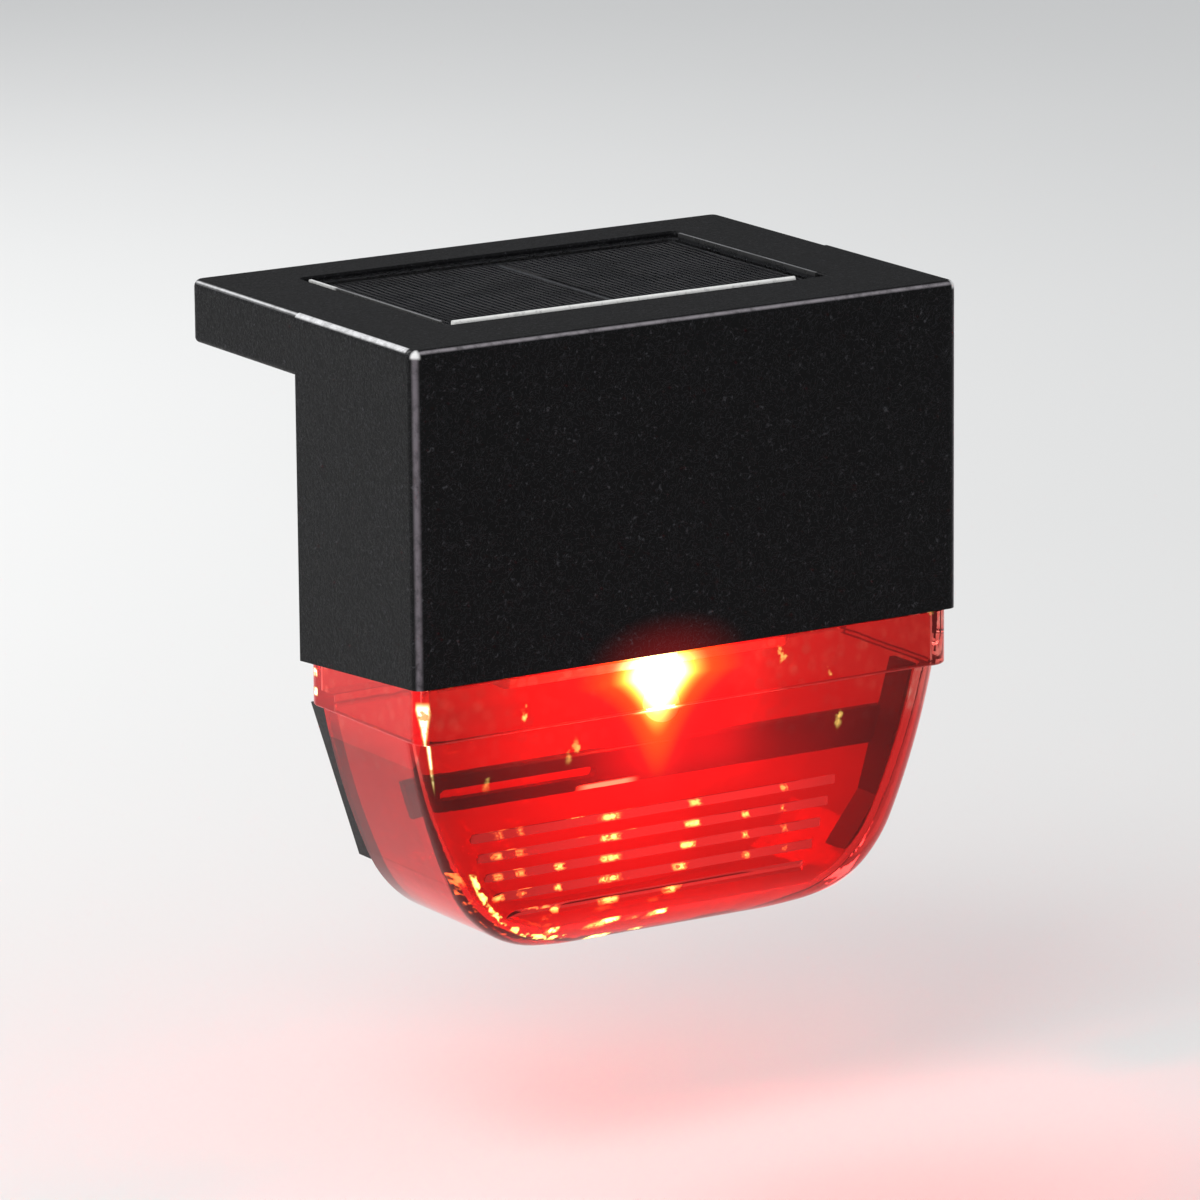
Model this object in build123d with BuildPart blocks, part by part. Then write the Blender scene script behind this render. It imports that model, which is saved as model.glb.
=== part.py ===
from build123d import *
import math
import os

os.makedirs("parts", exist_ok=True)

# Solar fence light that hangs on the top edge of a fence or rail by the
# overhang of its roof. Millimetres, +Z up. -Y looks away from the fence.
# Origin: the middle of the inner corner under the overhang, where the back
# face (y = 0) meets the overhang's underside (z = 0).
# Heights are worked out from the housing's front lower edge and moved to the
# origin by zz().

# ---------------------------------------------------------------- sizes
BODY_W = 98.0         # housing width
BODY_D = 36.0         # housing depth, front face to back face
BODY_H = 52.0         # housing height at the front
HOOK_D = 33.0         # overhang behind the back face
HOOK_W = 97.0         # overhang is a little narrower than the body
HOOK_T = 10.0         # overhang thickness
RIM_DROP = 2.4        # lower edge runs down towards the back by this much
WALL = 1.8
ROOF = 2.4
EDGE_R = 2.0          # front vertical edges
TOP_R = 1.2           # edges round the roof
PANEL_W, PANEL_D = 67.2, 42.7      # solar panel
POCKET_W, POCKET_D = 69.0, 44.5    # recess it sits in
POCKET_Y = 1.05       # centre of the recess
PANEL_SINK = 0.45     # panel face below the roof
POCKET_SINK = 2.65    # floor of the recess below the roof
BEAD_RISE = 0.45      # bead along the front of the panel, above the roof
GAP = 0.3             # between bodies
LENS_W = 96.4         # lens collar width
LENS_FRONT = -35.2
COLLAR_BACK = -0.8
LENS_BACK = -4.8      # flat back wall of the lens
COLLAR_V = -9.0       # lower end of the collar, below the rim
LENS_V = -47.3        # lowest point of the lens
BOWL_X, BOWL_Y = 47.5, -34.4       # bowl's half width and front at the collar
LOW_X, LOW_V = 35.0, -43.2         # lower corners before they are rounded
SIDE_BULGE = 1.5      # how far the sides swell past straight
CORNER_R = 21.0
NOSE_Y, NOSE_V, NOSE_R = -33.0, -45.2, 10.0    # where the front turns under
TAIL_V = -49.5
SHELL = 2.4           # lens wall
TONGUE_T = 1.1        # tongue that goes up inside the housing
TONGUE_V = 1.8
RIBS = 6              # horizontal ribs inside the lens front
RIB_V, RIB_PITCH, RIB_H, RIB_OUT = -25.2, 3.3, 2.8, 0.8
RIB_LEFT, RIB_RIGHT = 5.5, 15.0    # ribs stop short of the side walls and of the leg
PLATE_V0, PLATE_V1 = 3.0, 5.0      # base plate
BOSS = [(-41.5, -29.0), (41.5, -29.0), (-41.5, -9.8), (41.5, -9.8)]
BOX_L, BOX_D, BOX_Y = 52.0, 14.0, -15.0    # battery box outside
BOX_V0, BOX_V1 = -3.8, 8.6
LID_V = -5.6          # lid's lower face
CELL_R, CELL_L = 5.25, 43.8        # AAA cell
CELL_V = 1.7
LED_Y = -25.6
LED_TIP = -8.6
HOLDER_V = -1.6       # lower end of the lamp's holder
BOARD_V = 12.0        # circuit board's lower face
BOARD_T = 1.6
SWITCH_X, SWITCH_Y = 31.7, -20.0
SWITCH_TRAVEL = 2.5
STRIP_W, STRIP_V, STRIP_T = 1.3, -34.5, 4.5    # strip down one rear edge of the lens
ARM_V0, ARM_V1 = -22.8, -16.9      # dark bar across the inside of the lens
ARM_Y, ARM_T = -22.4, 1.6
LEG_Y0, LEG_Y1, LEG_T = -29.2, -23.2, 1.1      # leg down one side from the bar
LEG_V0, LEG_V1 = -38.0, -9.6


def zz(v):
    """Height above the origin of a height measured from the front lower edge."""
    return v - (BODY_H - HOOK_T)


def rim_v(y, drop=0.0):
    """Height of the slanted lower edge at depth y, less drop."""
    return -RIM_DROP * (y + BODY_D) / BODY_D - drop


def save(builder, name):
    builder.part.label = name
    export_step(builder.part, "parts/" + name + ".step")


# ---------------------------------------------------------------- housing
with BuildPart() as body_block:
    with BuildSketch(Plane.XY.offset(zz(-6))):
        with Locations((0, -BODY_D / 2)):
            Rectangle(BODY_W, BODY_D)
    extrude(amount=BODY_H + 6)
    vertical = body_block.edges().filter_by(Axis.Z)
    fillet(vertical.group_by(Axis.Y)[0], radius=EDGE_R)
    roof_edges = body_block.faces().sort_by(Axis.Z)[-1].edges().filter_by(lambda e: e.center().Y < -0.5)
    fillet(roof_edges, radius=TOP_R)
    chamfer(body_block.edges().filter_by(Axis.Z).group_by(Axis.Y)[-1], length=0.4)

with BuildPart() as hook_block:
    with BuildSketch(Plane.XY.offset(zz(BODY_H - HOOK_T))):
        with Locations((0, (HOOK_D - 8) / 2)):
            Rectangle(HOOK_W, HOOK_D + 8)
    extrude(amount=HOOK_T)
    fillet(hook_block.edges().filter_by(Axis.Z).group_by(Axis.Y)[-1], radius=1.8)
    top_edges = hook_block.faces().sort_by(Axis.Z)[-1].edges().sort_by(Axis.Y)[1:]
    fillet(top_edges, radius=TOP_R)
    low_edges = hook_block.faces().sort_by(Axis.Z)[0].edges().sort_by(Axis.Y)[1:]
    fillet(low_edges, radius=0.8)

with BuildPart() as housing:
    add(body_block.part)
    add(hook_block.part)
    # inside of the body and of the overhang
    with BuildSketch(Plane.XY.offset(zz(-8))):
        with Locations((0, -BODY_D / 2)):
            RectangleRounded(BODY_W - 2 * WALL, BODY_D - 2 * WALL, 1.0)
    extrude(amount=8 + BODY_H - ROOF, mode=Mode.SUBTRACT)
    with BuildSketch(Plane.XY.offset(zz(BODY_H - HOOK_T + WALL))):
        with Locations((0, (HOOK_D - WALL - 3) / 2)):
            Rectangle(HOOK_W - 2 * WALL, HOOK_D - WALL + 3)
    extrude(amount=HOOK_T - WALL - ROOF, mode=Mode.SUBTRACT)
    # tray that carries the panel, and the recess in the roof
    with BuildSketch(Plane.XY.offset(zz(BODY_H - POCKET_SINK - 1.8))):
        with Locations((0, POCKET_Y)):
            Rectangle(POCKET_W + 3.6, POCKET_D + 3.6)
    extrude(amount=POCKET_SINK + 0.8)
    with BuildSketch(Plane.XY.offset(zz(BODY_H - POCKET_SINK))):
        with Locations((0, POCKET_Y)):
            RectangleRounded(POCKET_W, POCKET_D, 1.2)
    extrude(amount=5, mode=Mode.SUBTRACT)
    # two holes for the panel's leads
    with BuildSketch(Plane.XY.offset(zz(BODY_H - 6))):
        with Locations((-4, -12), (4, -12)):
            Circle(1.4)
    extrude(amount=4, mode=Mode.SUBTRACT)
    # pillars for the base plate's screws, each with a web to the side wall
    with BuildSketch(Plane.XY.offset(zz(PLATE_V1))):
        with Locations(*BOSS):
            Circle(2.8)
        with Locations(*[(math.copysign(44.7, x), y) for x, y in BOSS]):
            Rectangle(5.6, 1.6)
    extrude(amount=BODY_H - ROOF - PLATE_V1 + 0.2)
    with BuildSketch(Plane.XY.offset(zz(PLATE_V1))):
        with Locations(*BOSS):
            Circle(1.25)
    extrude(amount=11, mode=Mode.SUBTRACT)
    # lower edge, cut on a slant
    with BuildSketch(Plane.YZ):
        with BuildLine():
            Polyline(
                (-BODY_D - 1, zz(rim_v(-BODY_D - 1))),
                (1, zz(rim_v(1))),
                (1, zz(-12)),
                (-BODY_D - 1, zz(-12)),
                close=True,
            )
        make_face()
    extrude(amount=BODY_W, both=True, mode=Mode.SUBTRACT)
    rim_edges = (
        housing.edges()
        .filter_by_position(Axis.Z, zz(BODY_H) - 0.01, zz(BODY_H) + 0.01)
        .filter_by(lambda e: abs(e.center().X) < 36 and -22 < e.center().Y < 24)
    )
    fillet(rim_edges, radius=0.45)

# ---------------------------------------------------------------- solar panel
P0 = BODY_H - POCKET_SINK    # floor of the recess
P1 = BODY_H - PANEL_SINK     # face of the panel
CELL_Z0, CELL_Z1 = P0 + 1.2, P0 + 1.45
CELL_XY = [(-16.6, POCKET_Y), (16.6, POCKET_Y)]
CELL_W, CELL_D = 31.6, 39.4

with BuildPart() as solar_board:
    with BuildSketch(Plane.XY.offset(zz(P0 + 0.1))):
        with Locations((0, POCKET_Y)):
            RectangleRounded(PANEL_W, PANEL_D, 0.8)
    extrude(amount=1.1)

with BuildPart() as solar_cells:
    with BuildSketch(Plane.XY.offset(zz(CELL_Z0))):
        with Locations(*CELL_XY):
            Rectangle(CELL_W, CELL_D)
    extrude(amount=CELL_Z1 - CELL_Z0)

with BuildPart() as solar_cover:
    with BuildSketch(Plane.XY.offset(zz(CELL_Z0))):
        with Locations((0, POCKET_Y)):
            RectangleRounded(PANEL_W, PANEL_D, 0.8)
    extrude(amount=P1 - CELL_Z0)
    fillet(solar_cover.faces().sort_by(Axis.Z)[-1].edges(), radius=0.2)
    with BuildSketch(Plane.XY.offset(zz(CELL_Z0))):
        with Locations(*CELL_XY):
            Rectangle(CELL_W + 0.1, CELL_D + 0.1)
    extrude(amount=CELL_Z1 - CELL_Z0 + 0.05, mode=Mode.SUBTRACT)

with BuildPart() as panel_sealant:
    with BuildSketch(Plane.XY.offset(zz(P0))):
        with Locations((0, POCKET_Y)):
            RectangleRounded(POCKET_W, POCKET_D, 1.2)
            RectangleRounded(PANEL_W, PANEL_D, 0.8, mode=Mode.SUBTRACT)
    extrude(amount=1.6)
    # fuller along the front, where it stands above the roof, and at the ends
    front_bead = (POCKET_D - PANEL_D) / 2
    with BuildSketch(Plane.XY.offset(zz(P0 + 1.0))):
        with Locations((-2.3, POCKET_Y - PANEL_D / 2 - front_bead / 2)):
            Rectangle(PANEL_W - 5.6, front_bead)
    extrude(amount=POCKET_SINK - 1.0 + BEAD_RISE)
    fillet(
        panel_sealant.faces().sort_by(Axis.Z)[-1].edges().filter_by(Axis.X),
        radius=0.4,
    )
    with BuildSketch(Plane.XY.offset(zz(P0 + 1.0))):
        with Locations((-PANEL_W / 2 - 0.3, POCKET_Y), (PANEL_W / 2 + 0.3, POCKET_Y)):
            Rectangle(0.5, PANEL_D - 3.0)
    extrude(amount=POCKET_SINK - 1.0 + 0.1)

# ---------------------------------------------------------------- lens
# Seen from the front the sides run in, the lower corners are round and the
# underside is slightly crowned. Seen from the side the front is nearly
# upright and turns under at the bottom.
def half_w(v):
    """Half width of the bowl at height v below the rim, above its round corners."""
    t = (COLLAR_V - v) / (COLLAR_V - LOW_V)
    slope = math.hypot(BOWL_X - LOW_X, COLLAR_V - LOW_V) / (COLLAR_V - LOW_V)
    return BOWL_X - (BOWL_X - LOW_X) * t + 4 * SIDE_BULGE * slope * t * (1 - t)


def front_y(v):
    """Depth of the bowl's outer front face at height v."""
    lean = (NOSE_Y - BOWL_Y) / (COLLAR_V - NOSE_V)
    y = BOWL_Y + lean * (COLLAR_V - v)
    start = NOSE_V + 0.86 * NOSE_R
    if v < start:
        y += NOSE_R - math.sqrt(max(0.0, NOSE_R**2 - (start - v) ** 2))
    return y


def bowl(inset, back, radius):
    """The tapered bowl of the lens from the collar down, drawn in by inset."""
    top = zz(COLLAR_V)
    x0, x1, low = BOWL_X - inset, LOW_X - inset, zz(LOW_V + inset)
    run, fall = x0 - x1, top - low
    length = math.hypot(run, fall)
    xm = (x0 + x1) / 2 + SIDE_BULGE * fall / length
    zm = (top + low) / 2 - SIDE_BULGE * run / length
    y0, y1, nose = BOWL_Y + inset, NOSE_Y + inset, zz(NOSE_V + inset)
    with BuildPart() as shape:
        with BuildSketch(Plane.XZ):
            with BuildLine():
                Line((-x0, top), (x0, top))
                ThreePointArc((x0, top), (xm, zm), (x1, low))
                ThreePointArc((x1, low), (0, zz(LENS_V + inset)), (-x1, low))
                ThreePointArc((-x1, low), (-xm, zm), (-x0, top))
            face = make_face()
            fillet(face.vertices().group_by(Axis.Y)[0], radius=CORNER_R - inset)
        extrude(amount=60, both=True)
        with BuildSketch(Plane.YZ):
            with BuildLine():
                Polyline((y0, top), (y1, nose), (back, zz(TAIL_V + inset)), (back, top), close=True)
            face = make_face()
            fillet(face.vertices().sort_by_distance((y1, nose, 0))[0], radius=NOSE_R - inset)
        extrude(amount=60, both=True, mode=Mode.INTERSECT)
        front_edges = shape.edges().filter_by(
            lambda e: e.center().Y < back - 0.5 and e.center().Z < top - 0.5 and not e.is_interior
        )
        seam = front_edges.filter_by(lambda e: e.bounding_box().size.X < 2 * x1 + 20)
        fillet(seam, radius=radius)
    return shape


outer_bowl = bowl(0.0, LENS_BACK, 5.0)
inner_bowl = bowl(SHELL, LENS_BACK - SHELL, 3.2)
INNER_X = 46.9 - TONGUE_T


def slab(x, y0, y1, v0, v1, r):
    """A block with round upright edges, x half width, from v0 up to v1."""
    with BuildPart() as block:
        with BuildSketch(Plane.XY.offset(zz(v0))):
            with Locations((0, (y0 + y1) / 2)):
                RectangleRounded(2 * x, y1 - y0, r)
        extrude(amount=v1 - v0)
    return block


collar_block = slab(LENS_W / 2, LENS_FRONT, COLLAR_BACK, COLLAR_V, 4.0, 3.0)
tongue_block = slab(46.9, -33.9, -2.1, COLLAR_V + 2, TONGUE_V, 1.2)
tongue_room = slab(INNER_X, -32.8, -3.2, COLLAR_V + SHELL, 6.0, 1.0)
collar_room = slab(INNER_X, -32.8, LENS_BACK - SHELL, COLLAR_V - 0.1, 0.0, 1.0)

with BuildPart() as lens:
    add(collar_block.part)
    # top of the collar lies along the housing's slanted edge
    with BuildSketch(Plane.YZ):
        with BuildLine():
            Polyline(
                (-BODY_D - 1, zz(rim_v(-BODY_D - 1, GAP))),
                (1, zz(rim_v(1, GAP))),
                (1, zz(6)),
                (-BODY_D - 1, zz(6)),
                close=True,
            )
        make_face()
    extrude(amount=BODY_W, both=True, mode=Mode.SUBTRACT)
    fillet(
        lens.edges().filter_by_position(Axis.Z, zz(COLLAR_V) - 0.01, zz(COLLAR_V) + 0.01).filter_by(
            lambda e: e.center().Y < LENS_BACK
        ),
        radius=0.4,
    )
    add(tongue_block.part)
    add(outer_bowl.part)
    # catches on the tongue
    with BuildSketch(Plane.XY.offset(zz(0.3))):
        with Locations((-46.8, -18), (46.8, -18)):
            Rectangle(0.6, 10)
    extrude(amount=1.0)
    add(tongue_room.part, mode=Mode.SUBTRACT)
    add(collar_room.part, mode=Mode.SUBTRACT)
    add(inner_bowl.part, mode=Mode.SUBTRACT)
    # horizontal ribs across the inside of the front wall
    for i in range(RIBS):
        v = RIB_V - i * RIB_PITCH
        with BuildSketch(Plane.YZ) as rib_face:
            with BuildLine():
                Polyline(
                    (front_y(v) + SHELL - 0.6, zz(v + RIB_H / 2)),
                    (front_y(v) + SHELL + RIB_OUT, zz(v - RIB_H * 0.1)),
                    (front_y(v - RIB_H / 2) + SHELL - 0.6, zz(v - RIB_H / 2)),
                    close=True,
                )
            make_face()
        ends = half_w(v) - RIB_LEFT, half_w(v) - RIB_RIGHT
        extrude(amount=ends[1])
        extrude(rib_face.sketch, amount=-ends[0])

# ---------------------------------------------------------------- rear strip
with BuildPart() as rear_strip:
    with BuildSketch(Plane.XZ.offset(GAP)):
        with BuildLine():
            Polyline(
                (0.2 - half_w(COLLAR_V), zz(COLLAR_V - 0.1)),
                (0.2 - half_w(STRIP_V), zz(STRIP_V)),
                (1.0 - half_w(STRIP_V), zz(STRIP_V)),
                (STRIP_W + 0.2 - half_w(COLLAR_V), zz(COLLAR_V - 0.1)),
                close=True,
            )
        make_face()
    extrude(amount=STRIP_T)
    fillet(
        rear_strip.edges().filter_by(lambda e: e.center().Y > -GAP - 0.01 and e.length > 20),
        radius=0.35,
    )

# ---------------------------------------------------------------- inner frame
# A bar across the lens and one leg that follows the side wall, fitted to the
# inside of the walls.
fit_bowl = bowl(SHELL + 0.05, LENS_BACK - SHELL - 0.05, 3.2)


def inside(v):
    return half_w(v) - SHELL


with BuildPart() as inner_frame:
    with BuildSketch(Plane.XZ.offset(-ARM_Y)):
        with Locations((0, zz((ARM_V0 + ARM_V1) / 2))):
            Rectangle(2 * BOWL_X, ARM_V1 - ARM_V0)
    extrude(amount=ARM_T)
    with BuildSketch(Plane.XZ.offset(-LEG_Y1)):
        with BuildLine():
            Polyline(
                (inside(LEG_V1) - LEG_T, zz(LEG_V1)),
                (inside(-30) - LEG_T, zz(-30)),
                (inside(LEG_V0) - 3.7, zz(LEG_V0)),
                (half_w(LEG_V0) + 1, zz(LEG_V0)),
                (half_w(LEG_V1) + 1, zz(LEG_V1)),
                close=True,
            )
        make_face()
    extrude(amount=LEG_Y1 - LEG_Y0)
    add(fit_bowl.part, mode=Mode.INTERSECT)
    # slit along one half of the bar
    with BuildSketch(Plane.XZ.offset(-ARM_Y - 1)):
        with Locations((-25, zz(-20.0))):
            SlotOverall(28, 1.7)
    extrude(amount=ARM_T + 2, mode=Mode.SUBTRACT)
    fillet(
        inner_frame.edges().filter_by(Axis.X).filter_by(lambda e: e.length > 60 and e.center().Y < ARM_Y - 1),
        radius=0.5,
    )

# ---------------------------------------------------------------- base plate
POSTS = [(-25.5, -27.2), (25.5, -27.2)]
PEGS = [(-20.0, -12.0), (20.0, -12.0)]
BOX_Y0, BOX_Y1 = BOX_Y - BOX_D / 2, BOX_Y + BOX_D / 2

with BuildPart() as base_plate:
    with BuildSketch(Plane.XY.offset(zz(PLATE_V0))):
        with Locations((0, -18)):
            RectangleRounded(93.8, 31.8, 1.0)
    extrude(amount=PLATE_V1 - PLATE_V0)
    # battery box through the plate
    with BuildSketch(Plane.XY.offset(zz(BOX_V0))):
        with Locations((0, BOX_Y)):
            RectangleRounded(BOX_L, BOX_D, 1.2)
    extrude(amount=BOX_V1 - BOX_V0)
    fillet(
        base_plate.faces().sort_by(Axis.Z)[-1].edges(), radius=0.8
    )
    # posts and pegs for the circuit board
    with BuildSketch(Plane.XY.offset(zz(PLATE_V1))):
        with Locations(*POSTS):
            Circle(2.3)
    extrude(amount=BOARD_V - PLATE_V1)
    with BuildSketch(Plane.XY.offset(zz(BOX_V1 - 0.5))):
        with Locations(*PEGS):
            Circle(1.6)
    extrude(amount=BOARD_V - BOX_V1 + 0.5)
    # stiffening rim on the upper side
    with BuildSketch(Plane.XY.offset(zz(PLATE_V1))):
        with Locations((0, -18)):
            RectangleRounded(76.0, 31.4, 0.8)
            RectangleRounded(74.0, 29.4, 0.6, mode=Mode.SUBTRACT)
    extrude(amount=1.6)
    # room for the cell and its contacts
    with BuildSketch(Plane.XY.offset(zz(BOX_V0))):
        with Locations((0, BOX_Y)):
            RectangleRounded(BOX_L - 3.2, BOX_D - 3.2, 0.6)
    extrude(amount=BOX_V1 - BOX_V0 - 1.4, mode=Mode.SUBTRACT)
    # wire holes in the box's top
    with BuildSketch(Plane.XY.offset(zz(BOX_V1 - 2))):
        with Locations((-23.4, BOX_Y), (23.4, BOX_Y)):
            Circle(0.9)
    extrude(amount=4, mode=Mode.SUBTRACT)
    # holes for the lamp's collar, the screws, the posts and the switch
    with BuildSketch(Plane.XY.offset(zz(PLATE_V0 - 1))):
        with Locations((0, LED_Y)):
            Circle(3.55)
        with Locations(*BOSS):
            Circle(1.6)
        with Locations((SWITCH_X, SWITCH_Y)):
            Rectangle(SWITCH_TRAVEL + 3.0, 2.4)
    extrude(amount=PLATE_V1 - PLATE_V0 + 4, mode=Mode.SUBTRACT)
    with BuildSketch(Plane.XY.offset(zz(BOARD_V - 6))):
        with Locations(*POSTS):
            Circle(0.95)
    extrude(amount=7, mode=Mode.SUBTRACT)
    # round drip rib under the plate
    with BuildSketch(Plane.XY.offset(zz(PLATE_V0 - 0.8))):
        with Locations((0, -18)):
            RectangleRounded(88.0, 26.6, 1.0)
            RectangleRounded(86.8, 25.4, 0.8, mode=Mode.SUBTRACT)
    extrude(amount=0.8)
    with BuildSketch(Plane.XY.offset(zz(PLATE_V0 - 1))):
        with Locations((SWITCH_X, SWITCH_Y)):
            Rectangle(12, 7)
        with Locations(*BOSS):
            Circle(3.2)
        with Locations((0, LED_Y)):
            Circle(5.4)
    extrude(amount=1.0, mode=Mode.SUBTRACT)

with BuildPart() as base_screws:
    for bx, by in BOSS:
        with BuildSketch(Plane.XY.offset(zz(PLATE_V0 - 1.7))):
            with Locations((bx, by)):
                Circle(2.5)
        extrude(amount=1.7)
        with BuildSketch(Plane.XY.offset(zz(PLATE_V0))):
            with Locations((bx, by)):
                Circle(1.25)
        extrude(amount=9.5)
        with BuildSketch(Plane.XY.offset(zz(PLATE_V0 - 1.7))):
            with Locations((bx, by)):
                Rectangle(2.8, 0.6)
                Rectangle(0.6, 2.8)
        extrude(amount=1.0, mode=Mode.SUBTRACT)
    fillet(
        base_screws.edges().filter_by(GeomType.CIRCLE).group_by(Axis.Z)[0].filter_by(lambda e: e.radius > 2.4),
        radius=0.5,
    )

with BuildPart() as battery_lid:
    with BuildSketch(Plane.XY.offset(zz(LID_V))):
        with Locations((0, BOX_Y)):
            RectangleRounded(BOX_L, BOX_D, 1.2)
    extrude(amount=BOX_V0 - GAP - LID_V)
    fillet(battery_lid.faces().sort_by(Axis.Z)[0].edges(), radius=0.6)
    # catch tongues that reach up beside the ends of the cell
    with BuildSketch(Plane.XY.offset(zz(LID_V + 0.8))):
        with Locations((-10, BOX_Y0 + 2.5), (10, BOX_Y0 + 2.5), (-10, BOX_Y1 - 2.5), (10, BOX_Y1 - 2.5)):
            Rectangle(7, 0.8)
    extrude(amount=2.4)
    # thumb grip
    with BuildSketch(Plane.XY.offset(zz(LID_V))):
        with Locations(*[(20 + i * 1.4, BOX_Y) for i in range(3)]):
            Rectangle(0.6, 8)
    extrude(amount=0.4, mode=Mode.SUBTRACT)

# ---------------------------------------------------------------- battery
with BuildPart() as battery:
    with BuildSketch(Plane.YZ.offset(-CELL_L / 2)):
        with Locations((BOX_Y, zz(CELL_V))):
            Circle(CELL_R)
    extrude(amount=CELL_L)
    fillet(battery.edges().filter_by(GeomType.CIRCLE), radius=0.6)
    with BuildSketch(Plane.YZ.offset(CELL_L / 2 - 0.1)):
        with Locations((BOX_Y, zz(CELL_V))):
            Circle(1.9)
    extrude(amount=0.9)
    with BuildSketch(Plane.YZ.offset(CELL_L / 2 - 3.0)):
        with Locations((BOX_Y, zz(CELL_V))):
            Circle(CELL_R + 0.1)
            Circle(CELL_R - 0.2, mode=Mode.SUBTRACT)
    extrude(amount=0.8, mode=Mode.SUBTRACT)

CONTACT_X = BOX_L / 2 - 1.6
with BuildPart() as plate_contact:
    with BuildSketch(Plane.YZ.offset(CONTACT_X - 0.4)):
        with Locations((BOX_Y, zz(1.6))):
            Rectangle(8.6, 8.4)
    extrude(amount=0.4)
    with BuildSketch(Plane.YZ.offset(CELL_L / 2 + 0.8)):
        with Locations((BOX_Y, zz(CELL_V))):
            Circle(1.7)
    extrude(amount=CONTACT_X - 0.4 - CELL_L / 2 - 0.8)

with BuildPart() as spring_contact:
    with BuildSketch(Plane.YZ.offset(-CONTACT_X)):
        with Locations((BOX_Y, zz(1.6))):
            Rectangle(8.6, 8.4)
    extrude(amount=0.4)
    with BuildLine() as coil:
        Helix(
            pitch=0.56, height=1.2, radius=2.5, center=(-CONTACT_X + 0.6, BOX_Y, zz(CELL_V)), direction=(1, 0, 0)
        )
    with BuildSketch(Plane(origin=coil.line @ 0, z_dir=coil.line % 0)):
        Circle(0.22)
    sweep(path=coil.line, is_frenet=True)

# ---------------------------------------------------------------- lamp
LED_FLANGE = LED_TIP + 8.6

with BuildPart() as led:
    with BuildSketch(Plane.XY.offset(zz(LED_TIP + 2.5))):
        with Locations((0, LED_Y)):
            Circle(2.5)
    extrude(amount=5.2)
    with BuildSketch(Plane.XY.offset(zz(LED_FLANGE - 1.0))):
        with Locations((0, LED_Y)):
            Circle(2.9)
    extrude(amount=1.0)
    with Locations((0, LED_Y, zz(LED_TIP + 2.5))):
        Sphere(2.5)

with BuildPart() as led_legs:
    with BuildSketch(Plane.XY.offset(zz(LED_FLANGE))):
        with Locations((-1.27, LED_Y), (1.27, LED_Y)):
            Rectangle(0.5, 0.5)
    extrude(amount=BOARD_V + BOARD_T + 0.8 - LED_FLANGE)

with BuildPart() as led_collar:
    with BuildSketch(Plane.XY.offset(zz(HOLDER_V))):
        with Locations((0, LED_Y)):
            Circle(4.6)
    extrude(amount=PLATE_V0 - HOLDER_V)
    fillet(led_collar.edges().group_by(Axis.Z)[0], radius=0.6)
    with BuildSketch(Plane.XY.offset(zz(PLATE_V0))):
        with Locations((0, LED_Y)):
            Circle(3.5)
    extrude(amount=PLATE_V1 - PLATE_V0)
    with BuildSketch(Plane.XY.offset(zz(HOLDER_V - 1))):
        with Locations((0, LED_Y)):
            Circle(2.55)
    extrude(amount=9, mode=Mode.SUBTRACT)
    with BuildSketch(Plane.XY.offset(zz(LED_FLANGE - 1.0))):
        with Locations((0, LED_Y)):
            Circle(2.95)
    extrude(amount=7, mode=Mode.SUBTRACT)
    # flat beside the battery box
    with BuildSketch(Plane.XY.offset(zz(HOLDER_V - 1))):
        with Locations((0, BOX_Y0 - 0.1 + 3)):
            Rectangle(12, 6)
    extrude(amount=9, mode=Mode.SUBTRACT)

# ---------------------------------------------------------------- circuit
BOARD_TOP = BOARD_V + BOARD_T

with BuildPart() as circuit_board:
    with BuildSketch(Plane.XY.offset(zz(BOARD_V))):
        with Locations((0, -18.6)):
            RectangleRounded(60, 22.4, 1.0)
        with Locations(*POSTS):
            Circle(1.1, mode=Mode.SUBTRACT)
        with Locations((-1.27, LED_Y), (1.27, LED_Y)):
            Circle(0.4, mode=Mode.SUBTRACT)
        with Locations((-23.4, BOX_Y), (23.4, BOX_Y)):
            Circle(0.65, mode=Mode.SUBTRACT)
    extrude(amount=BOARD_T)

with BuildPart() as circuit_screws:
    for px, py in POSTS:
        with BuildSketch(Plane.XY.offset(zz(BOARD_TOP))):
            with Locations((px, py)):
                Circle(2.0)
        extrude(amount=1.3)
        with BuildSketch(Plane.XY.offset(zz(BOARD_TOP - 6.5))):
            with Locations((px, py)):
                Circle(0.93)
        extrude(amount=6.5)
        with BuildSketch(Plane.XY.offset(zz(BOARD_TOP + 0.6))):
            with Locations((px, py)):
                Rectangle(2.2, 0.5)
                Rectangle(0.5, 2.2)
        extrude(amount=0.8, mode=Mode.SUBTRACT)

with BuildPart() as controller_chip:
    with BuildSketch(Plane.XY.offset(zz(BOARD_TOP + 0.25))):
        with Locations((8, -16)):
            Rectangle(4.9, 3.9)
    extrude(amount=1.5)
    chamfer(controller_chip.faces().sort_by(Axis.Z)[-1].edges(), length=0.25)
    with BuildSketch(Plane.XY.offset(zz(BOARD_TOP))):
        with Locations(*[(8 + (i - 1.5) * 1.27, -16 + sy * 2.55) for i in range(4) for sy in (-1, 1)]):
            Rectangle(0.42, 1.5)
    extrude(amount=0.45)

with BuildPart() as inductor:
    with BuildSketch(Plane.XY.offset(zz(BOARD_TOP))):
        with Locations((-6, -14)):
            Circle(3.6)
    extrude(amount=5.6)
    with BuildSketch(Plane.XY.offset(zz(BOARD_TOP + 1.0))):
        with Locations((-6, -14)):
            Circle(3.6)
            Circle(2.7, mode=Mode.SUBTRACT)
    extrude(amount=3.6, mode=Mode.SUBTRACT)

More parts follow.
